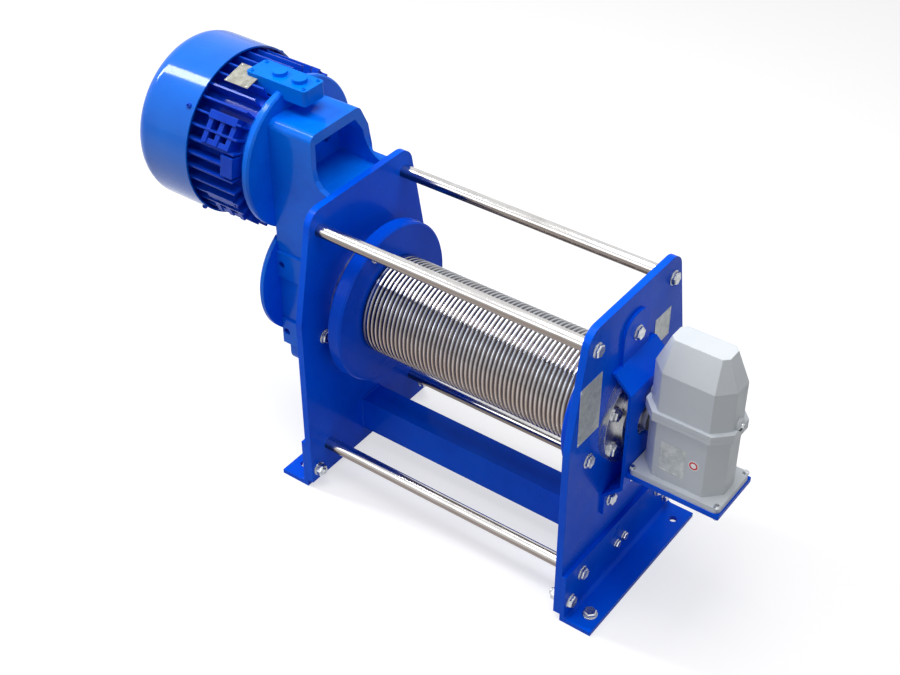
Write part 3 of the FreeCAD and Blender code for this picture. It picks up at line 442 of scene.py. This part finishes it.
def grooved_barrel():
    """The barrel with its rope groove cut as one helix, and a plain collar at the motor end."""
    low, high = box("drum_barrel")
    axis_z = middle("drum_barrel").z
    radius = radius_of("drum_barrel")
    start = low.x + COLLAR_LENGTH
    around, per_pitch = 96, 8
    steps = int((high.x - start) / GROOVE_PITCH * per_pitch)
    shape = bmesh.new()

    def collar(x, angle):
        return radius - COLLAR_STEP + max(0, x - start + COLLAR_BEVEL)

    def groove(x, angle):
        turns = (x - start) / GROOVE_PITCH - angle / (2 * math.pi)
        fade = min(1, (x - start) / GROOVE_PITCH, (high.x - x) / GROOVE_PITCH)
        return radius - GROOVE_DEPTH * max(0, fade) * abs(math.cos(math.pi * turns)) ** GROOVE_SHAPE

    def ring(x, radius_at):
        verts = []
        for step in range(around):
            angle = 2 * math.pi * step / around
            reach = radius_at(x, angle)
            verts.append(shape.verts.new((x, reach * math.cos(angle), axis_z + reach * math.sin(angle))))
        return verts

    rings = [ring(x, collar) for x in (low.x, start - COLLAR_BEVEL, start)]
    rings += [ring(start + (high.x - start) * step / steps, groove) for step in range(steps + 1)]
    for first, second in zip(rings, rings[1:]):
        add_band(shape, first, second)
    for end in (rings[0], rings[-1]):
        shape.faces.new(end)
    thing = piece("grooved_barrel", shape, "drum", "drum_steel", 80)
    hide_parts("drum_barrel")


grooved_barrel()


# ---------------------------------------------------------------- bolts and nuts

WASHER_HEIGHT = 0.12        # shares of a bolt's size over its flats
WASHER_RADIUS = 0.64


def add_hex_bolt(shape, start, base, tip, flats, shank):
    """A bolt from start to tip: shank up to base, then a washer and a chamfered hexagon head."""
    axis = (tip - base).normalized()
    height = (tip - base).length
    corner = flats / math.sqrt(3)
    washer = WASHER_HEIGHT * flats
    length = (base - start).length
    if length > 1e-5:
        add_turned(shape, start, axis, [(0, 0), (0, shank), (length, shank), (length, 0)], 16)
    add_turned(shape, base, axis, [
        (0, 0), (0, WASHER_RADIUS * flats), (0.8 * washer, WASHER_RADIUS * flats),
        (washer, 0.61 * flats), (washer, 0)], 24)
    turn = random.uniform(0, math.pi / 3)
    add_turned(shape, base, axis, [
        (washer, 0), (washer, corner), (height - 0.1 * flats, corner), (height, 0.86 * corner),
        (height - 0.02 * flats, 0.5 * corner), (height - 0.02 * flats, 0)], 6, turn)


def add_nut(shape, seat, axis, flats):
    """A nut on a washer, with the bolt's end standing out of it."""
    washer = WASHER_HEIGHT * flats
    corner = flats / math.sqrt(3)
    height = 0.5 * flats
    thread = 0.31 * flats
    add_turned(shape, seat, axis, [
        (0, 0), (0, WASHER_RADIUS * flats), (washer, 0.62 * flats), (washer, 0)], 24)
    add_turned(shape, seat, axis, [
        (washer, 0), (washer, 0.9 * corner), (1.6 * washer, corner), (washer + 0.85 * height, corner),
        (washer + height, 0.87 * corner), (washer + height, 0)], 6, random.uniform(0, math.pi / 3))
    add_turned(shape, seat, axis, [
        (washer, 0), (washer, thread), (washer + 1.3 * height, thread),
        (washer + 1.4 * height, 0.25 * flats), (washer + 1.4 * height, 0)], 16)


def detailed_bolts(name, body="frame", axis=X):
    """Puts chamfered bolts with washers in place of the plain ones of a CAD node."""
    shape = bmesh.new()
    for spots in solids(name):
        along = [spot.dot(axis) for spot in spots]
        low, high = min(along), max(along)
        middle_line = centre_of(spots)
        middle_line -= axis * middle_line.dot(axis)
        reach = [(spot - axis * spot.dot(axis) - middle_line).length for spot in spots]
        widest = max(reach)
        inner = min(reach)
        head = [level for level, size in zip(along, reach) if size > 0.97 * widest]
        if abs(max(head) - high) < 1e-4:
            start, base, tip = low, min(head), high
        else:
            start, base, tip = high, max(head), low
        start, base, tip = (middle_line + axis * level for level in (start, base, tip))
        shank = inner if inner < 0.8 * widest else 0.5 * widest
        add_hex_bolt(shape, start, base, tip, widest * math.sqrt(3), shank)
    thing = piece(f"{name}_detailed", shape, body, slot_of[name], 25)
    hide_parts(name)


BOLTS_ALONG_X = ("top_rod_bolts", "bottom_rod_bolts", "foot_bolts", "mid_bolts", "hub_bolts",
                 "bearing_bolts", "bracket_bolts")
for name in nodes:
    if name.startswith(BOLTS_ALONG_X):
        detailed_bolts(name)
detailed_bolts("rope_clamp_bolt", "drum")
detailed_bolts("switch_bolts", "frame", Z)

CHAMFER = 1 * MM
BOLT_FLATS = 19 * MM
FOOT_THICKNESS = 8 * MM
ANCHOR_HEAD, ANCHOR_SHANK = 9 * MM, 5.5 * MM
BEAM_BOLT_FLATS, BEAM_BOLT_HEAD, BEAM_BOLT_SHANK = 13 * MM, 6 * MM, 4 * MM
BEAM_BOLT_SPREAD = 11 * MM      # each side of the beam's middle
BEAM_BOLT_RISE = 7 * MM         # above the beam's underside
SWITCH_BOLT_END, SWITCH_BOLT_RADIUS = 7 * MM, 3.2 * MM


def plate_face(side, way):
    """X of the face of a side plate that looks along X (way 1) or against it (way -1)."""
    low, high = box("side_plate_" + side)
    return high.x if way == 1 else low.x


def nuts_and_beam_bolts():
    """The nuts and small bolts that the CAD model leaves out, as one piece."""
    shape = bmesh.new()
    for side, inward in (("motor", 1), ("switch", -1)):
        for spots in solids("foot_bolts_" + side):
            bolt = centre_of(spots)
            seat = Vector((plate_face(side, inward), bolt.y, bolt.z))
            add_nut(shape, seat, X * inward, BOLT_FLATS)
    # Two smaller bolts through each foot angle hold the beam between the plates.
    beam_bottom, beam_middle = box("base_beam")[0].z, middle("base_beam").y
    for side, outward in (("motor", -1), ("switch", 1)):
        face = plate_face(side, outward) + outward * FOOT_THICKNESS
        for spread in (-BEAM_BOLT_SPREAD, BEAM_BOLT_SPREAD):
            seat = Vector((face, beam_middle + spread, beam_bottom + BEAM_BOLT_RISE))
            add_hex_bolt(shape, seat, seat, seat + X * outward * BEAM_BOLT_HEAD,
                         BEAM_BOLT_FLATS, BEAM_BOLT_SHANK)
    # The photo shows one anchor bolt, in the near foot.
    spacing = record["mounts"][0]["dims"]
    bottom = Vector((spacing["spacing_x_mm"], -spacing["spacing_y_mm"], 0)) / 2 * MM
    seat = bottom + Z * FOOT_THICKNESS
    add_hex_bolt(shape, bottom, seat, seat + Z * ANCHOR_HEAD, BOLT_FLATS, ANCHOR_SHANK)
    # The ends of the switch's bolts show under its shelf.
    shelf_bottom = box("switch_shelf")[0].z
    for spots in solids("switch_bolts"):
        bolt = centre_of(spots)
        add_turned(shape, Vector((bolt.x, bolt.y, shelf_bottom)), -Z, [
            (0, 0), (0, SWITCH_BOLT_RADIUS), (SWITCH_BOLT_END - CHAMFER, SWITCH_BOLT_RADIUS),
            (SWITCH_BOLT_END, 0.75 * SWITCH_BOLT_RADIUS), (SWITCH_BOLT_END, 0)], 14)
    piece("nuts_and_beam_bolts", shape, "frame", "zinc_bolts", 25)


nuts_and_beam_bolts()


# ---------------------------------------------------------------- screws of the cowl and the box lid

def add_screw(shape, seat, axis, radius):
    """A button-head screw with a round socket."""
    top = 0.9 * radius
    add_turned(shape, seat - axis * radius, axis, [
        (0, 0), (0, 0.5 * radius), (radius, 0.5 * radius), (radius, radius),
        (radius + 0.35 * top, 0.97 * radius), (radius + 0.75 * top, 0.78 * radius),
        (radius + top, 0.48 * radius), (radius + 0.5 * top, 0.42 * radius),
        (radius + 0.5 * top, 0)], 18)


COWL_SCREW_ANGLES = (40, -45, 140, 225)     # degrees from the front upward
COWL_SCREW_INSET = 12 * MM
COWL_SCREW_RADIUS = 4.5 * MM
LID_SCREW_INSETS = (8 * MM, 7 * MM)
LID_SCREW_RADIUS = 3 * MM

cowl_end = box("fan_cowl")[1].x
cowl_radius = radius_of("fan_cowl")
motor_axis = middle("fan_cowl")


def from_motor_axis(x, degrees, radius):
    """The outward direction at an angle round the motor, and the spot at a radius from its axis."""
    angle = math.radians(degrees)
    outward = Vector((0, -math.cos(angle), math.sin(angle)))
    return outward, Vector((x, motor_axis.y, motor_axis.z)) + outward * radius


screws = bmesh.new()
for degrees in COWL_SCREW_ANGLES:
    outward, spot = from_motor_axis(cowl_end - COWL_SCREW_INSET, degrees, cowl_radius)
    add_screw(screws, spot, outward, COWL_SCREW_RADIUS)
piece("cowl_screws", screws, "frame", "motor_paint", 40)

screws = bmesh.new()
lid_low, lid_high = box("terminal_box_lid")
for x in (lid_low.x + LID_SCREW_INSETS[0], lid_high.x - LID_SCREW_INSETS[0]):
    for y in (lid_low.y + LID_SCREW_INSETS[1], lid_high.y - LID_SCREW_INSETS[1]):
        add_screw(screws, Vector((x, y, lid_high.z)), Z, LID_SCREW_RADIUS)
piece("lid_screws", screws, "frame", "box_paint", 40)


# ---------------------------------------------------------------- bare labels

LABEL_BORDER = 1.8 * MM
LABEL_RECESS = 0.3 * MM
RIVET_INSET = 5 * MM
RIVET_SINK = 0.2 * MM


def rectangle(corner, right, up, width, height):
    """The four corners of a face that looks along right x up."""
    return [corner, corner + right * width, corner + right * width + up * height, corner + up * height]


def add_slab(shape, corners, normal, thickness):
    """A thin plate on four corners, thickness proud of them, with a raised border."""
    centre_spot = sum(corners, Vector()) / 4

    def ring(height, inset):
        verts = []
        for corner in corners:
            step = (centre_spot - corner).normalized() * inset * math.sqrt(2)
            verts.append(shape.verts.new(corner + step + normal * height))
        return verts

    rings = [ring(0, 0), ring(0.8 * thickness, 0), ring(thickness, 0.3 * thickness),
             ring(thickness, LABEL_BORDER),
             ring(thickness - LABEL_RECESS, LABEL_BORDER + 0.4 * LABEL_RECESS)]
    for first, second in zip(rings, rings[1:]):
        add_band(shape, first, second)
    for end in (rings[0], rings[-1]):
        shape.faces.new(end)


def label(name, corners, finish, thickness=0.8 * MM, rivet=1.6 * MM):
    """A bare label plate; rivet is the radius of the rivet heads in its corners, 0 for none."""
    normal = (corners[1] - corners[0]).cross(corners[3] - corners[0]).normalized()
    shape = bmesh.new()
    add_slab(shape, corners, normal, thickness)
    piece(name, shape, "frame", "zinc_bolts", 30, finish)
    if not rivet:
        return
    centre_spot = sum(corners, Vector()) / 4
    heads = bmesh.new()
    for corner in corners:
        spot = corner + (centre_spot - corner).normalized() * RIVET_INSET + normal * thickness
        add_turned(heads, spot, normal, [
            (-RIVET_SINK, 0), (-RIVET_SINK, rivet), (0.3 * rivet, 0.8 * rivet),
            (0.5 * rivet, 0.3 * rivet), (0.5 * rivet, 0)], 12)
    piece(f"{name}_rivets", heads, "frame", "zinc_bolts", 40)


def plate_label(name, y, drop, width, height):
    """A label on the outer face of the switch-side plate, drop below the plate's top."""
    top = box("side_plate_switch")[1].z
    corner = Vector((plate_face("switch", 1), y, top - drop - height))
    label(name, rectangle(corner, Y, Z, width, height), label_grey)


plate_low, plate_high = box("side_plate_switch")
plate_label("plate_label_front", plate_low.y + 19 * MM, drop=88 * MM, width=57 * MM, height=104 * MM)
plate_label("plate_label_rear", plate_high.y - 100 * MM, drop=90 * MM, width=46 * MM, height=52 * MM)


# ---------------------------------------------------------------- limit switch trim

SWITCH_LABEL_INSET, SWITCH_LABEL_RISE = 44 * MM, 28 * MM
SWITCH_LABEL_WIDTH, SWITCH_LABEL_HEIGHT = 42 * MM, 54 * MM
SWITCH_LABEL_THICKNESS = 0.5 * MM
BADGE_INSET, BADGE_RISE = 100 * MM, 62 * MM
BADGE_RADIUS, BADGE_THICKNESS = 8.5 * MM, 0.5 * MM
BADGE_RING_INNER, BADGE_RING_OUTER, BADGE_RING_THICKNESS = 4.6 * MM, 7 * MM, 0.2 * MM
LUG_RADIUS, LUG_HEIGHT = 11 * MM, 6 * MM
LUG_SCREW_RADIUS, LUG_SCREW_SINK = 4 * MM, 0.2 * MM
BODY_SETBACK = 6 * MM           # of the switch's body from the cover's rim

base_low = box("switch_base")[0]
cover_low, cover_high = box("switch_cover")
body_front = cover_low.y + BODY_SETBACK

corner = Vector((base_low.x + SWITCH_LABEL_INSET, body_front, base_low.z + SWITCH_LABEL_RISE))
label("switch_label", rectangle(corner, X, Z, SWITCH_LABEL_WIDTH, SWITCH_LABEL_HEIGHT), label_grey,
      SWITCH_LABEL_THICKNESS, rivet=0)

badge = Vector((base_low.x + BADGE_INSET, body_front, base_low.z + BADGE_RISE))
disc = bmesh.new()
add_turned(disc, badge, -Y, [
    (0, 0), (0, BADGE_RADIUS), (BADGE_THICKNESS, BADGE_RADIUS), (BADGE_THICKNESS, 0)], 32)
piece("switch_badge", disc, "frame", "switch_grey", 40, label_pale)
ring = bmesh.new()
add_turned(ring, badge - Y * BADGE_THICKNESS, -Y, [
    (0, BADGE_RING_INNER), (BADGE_RING_THICKNESS, BADGE_RING_INNER),
    (BADGE_RING_THICKNESS, BADGE_RING_OUTER), (0, BADGE_RING_OUTER), (0, BADGE_RING_INNER)], 32)
piece("switch_badge_ring", ring, "frame", "switch_grey", 40, label_red)

lugs = bmesh.new()
lug_y, lug_z = middle("switch_cover").y, cover_low.z + LUG_RADIUS
for x, outward in ((cover_high.x, X), (cover_low.x, -X)):
    add_turned(lugs, Vector((x, lug_y, lug_z)) - outward * LUG_HEIGHT, outward, [
        (0, 0), (0, LUG_RADIUS), (LUG_HEIGHT - CHAMFER, LUG_RADIUS - CHAMFER),
        (LUG_HEIGHT, LUG_RADIUS - 2 * CHAMFER), (LUG_HEIGHT, 0)], 20)
piece("switch_lugs", lugs, "frame", "switch_grey", 40)
screws = bmesh.new()
add_screw(screws, Vector((cover_high.x - LUG_SCREW_SINK, lug_y, lug_z)), X, LUG_SCREW_RADIUS)
piece("switch_screws", screws, "frame", "zinc_bolts", 40)


# ---------------------------------------------------------------- motor nameplate

NAMEPLATE_ANGLE = 75            # degrees from the front upward
NAMEPLATE_SINK = 7 * MM         # below the cowl's radius
NAMEPLATE_OFFSET = 43 * MM      # of its middle from the cowl's end
NAMEPLATE_WIDTH, NAMEPLATE_HEIGHT = 48 * MM, 44 * MM
NAMEPLATE_DROP = 24 * MM        # of its lower edge, round the motor

outward, heart = from_motor_axis(cowl_end + NAMEPLATE_OFFSET, NAMEPLATE_ANGLE,
                                 cowl_radius - NAMEPLATE_SINK)
upward = outward.cross(X)
corner = heart - X * NAMEPLATE_WIDTH / 2 - upward * NAMEPLATE_DROP
label("motor_nameplate", rectangle(corner, X, upward, NAMEPLATE_WIDTH, NAMEPLATE_HEIGHT), label_worn)


# ---------------------------------------------------------------- welds

BEAD_STEP = 1.6 * MM
BEAD_SIDES = 8
BEAM_BEAD, SHELF_BEAD = 2.4 * MM, 2.2 * MM      # radii
SHELF_BEAD_END = 4 * MM                         # short of the shelf's corners


def add_bead(shape, points, radius):
    """A weld bead through points: a tube whose ripples follow each other."""
    for first, second in zip(points, points[1:]):
        way = second - first
        count = max(2, int(way.length / BEAD_STEP))
        one, two = across(way)
        rings = []
        for step in range(count + 1):
            centre_spot = first + way * step / count
            swell = radius * (0.86 + 0.2 * (step % 3 == 0) + random.uniform(-0.05, 0.05))
            rings.append([shape.verts.new(centre_spot + (one * math.cos(a) + two * math.sin(a)) * swell)
                          for a in (2 * math.pi * k / BEAD_SIDES for k in range(BEAD_SIDES))])
        for low, high in zip(rings, rings[1:]):
            add_band(shape, low, high)
        for end in (rings[0], rings[-1]):
            shape.faces.new(end)


beads = bmesh.new()
beam_low, beam_high = box("base_beam")
for x in (beam_low.x, beam_high.x):
    add_bead(beads, [Vector((x, y, z)) for y, z in (
        (beam_low.y, beam_low.z), (beam_low.y, beam_high.z), (beam_high.y, beam_high.z),
        (beam_high.y, beam_low.z), (beam_low.y, beam_low.z))], BEAM_BEAD)
shelf_low, shelf_high = box("switch_shelf")
add_bead(beads, [Vector((shelf_low.x, y, shelf_low.z))
                 for y in (shelf_low.y + SHELF_BEAD_END, shelf_high.y - SHELF_BEAD_END)], SHELF_BEAD)
piece("weld_beads", beads, "frame", "frame_paint", 60)


# ---------------------------------------------------------------- stage, light and camera

FLOOR_SIZE = 40
FLOOR_LIFT = 0.62           # glow of the floor, for the rays that see it only
WORLD_LIGHT = 0.18          # what lights the object; the rays that see the world get 1


def seen_rays(tree):
    """1 for camera, glossy and transmission rays, 0 for the light that falls on the object."""
    rays = tree.nodes.new("ShaderNodeLightPath")
    total = rays.outputs["Is Camera Ray"]
    for key in ("Is Glossy Ray", "Is Transmission Ray"):
        either = tree.nodes.new("ShaderNodeMath")
        either.operation = "MAXIMUM"
        tree.links.new(total, either.inputs[0])
        tree.links.new(rays.outputs[key], either.inputs[1])
        total = either.outputs[0]
    return total


def pale_floor():
    """A plain pale floor that keeps the object's shadow."""
    half = FLOOR_SIZE / 2
    mesh = bpy.data.meshes.new("floor")
    mesh.from_pydata([(-half, -half, 0), (half, -half, 0), (half, half, 0), (-half, half, 0)], [],
                     [(0, 1, 2, 3)])
    floor = bpy.data.objects.new("floor", mesh)
    bpy.context.scene.collection.objects.link(floor)
    finish = Finish("pale_floor")
    finish.set(Base_Color=(0.5, 0.5, 0.5, 1), Roughness=0.9, Specular_IOR_Level=0.0)
    finish.set(Emission_Color=(1, 1, 1, 1))
    finish.feed("Emission Strength", finish.remap(seen_rays(finish.tree), 0, 1, 0, FLOOR_LIFT))
    mesh.materials.append(finish.material)


def white_world():
    """A plain white world that lights the object less than it shows."""
    world = bpy.data.worlds.new("studio")
    world.use_nodes = True
    bpy.context.scene.world = world
    tree = world.node_tree
    background = tree.nodes["Background"]
    background.inputs["Color"].default_value = (1, 1, 1, 1)
    level = tree.nodes.new("ShaderNodeMapRange")
    level.inputs["To Min"].default_value = WORLD_LIGHT
    level.inputs["To Max"].default_value = 1.0
    tree.links.new(seen_rays(tree), level.inputs["Value"])
    tree.links.new(level.outputs["Result"], background.inputs["Strength"])


def area_light(name, place, target, size, power):
    lamp = bpy.data.lights.new(name, "AREA")
    lamp.shape = "RECTANGLE"
    lamp.size, lamp.size_y = size
    lamp.energy = power
    thing = bpy.data.objects.new(name, lamp)
    thing.location = place
    thing.rotation_mode = "QUATERNION"
    thing.rotation_quaternion = (Vector(target) - Vector(place)).to_track_quat("-Z", "Y")
    bpy.context.scene.collection.objects.link(thing)


pale_floor()
white_world()
centre = (Vector(cad_box[0]) + Vector(cad_box[1])) / 2
area_light("strip", (-1.85, -0.42, 2.1), (-0.5, -0.1, 0.6), (0.3, 1.5), 34)
area_light("overhead", (0.0, 0.0, 2.8), centre, (2.2, 1.8), 54)
area_light("key", (-1.4, -2.4, 1.8), centre, (1.4, 1.0), 10)
area_light("fill", (2.6, -1.4, 1.2), centre, (1.2, 1.2), 5)

VIEW_AZIMUTH, VIEW_ELEVATION = math.radians(36.22), math.radians(38.08)
CAMERA_PLACE = (1.0734, -1.5660, 1.8261)
lens = bpy.data.cameras.new("camera")
lens.sensor_width = 36
lens.lens = 61.47
lens.clip_end = 100
camera = bpy.data.objects.new("camera", lens)
camera.location = CAMERA_PLACE
back = Vector((math.sin(VIEW_AZIMUTH) * math.cos(VIEW_ELEVATION),
               -math.cos(VIEW_AZIMUTH) * math.cos(VIEW_ELEVATION), math.sin(VIEW_ELEVATION)))
camera.rotation_mode = "QUATERNION"
camera.rotation_quaternion = (-back).to_track_quat("-Z", "Y")
bpy.context.scene.collection.objects.link(camera)
bpy.context.scene.camera = camera
bpy.context.scene.view_settings.view_transform = "Standard"
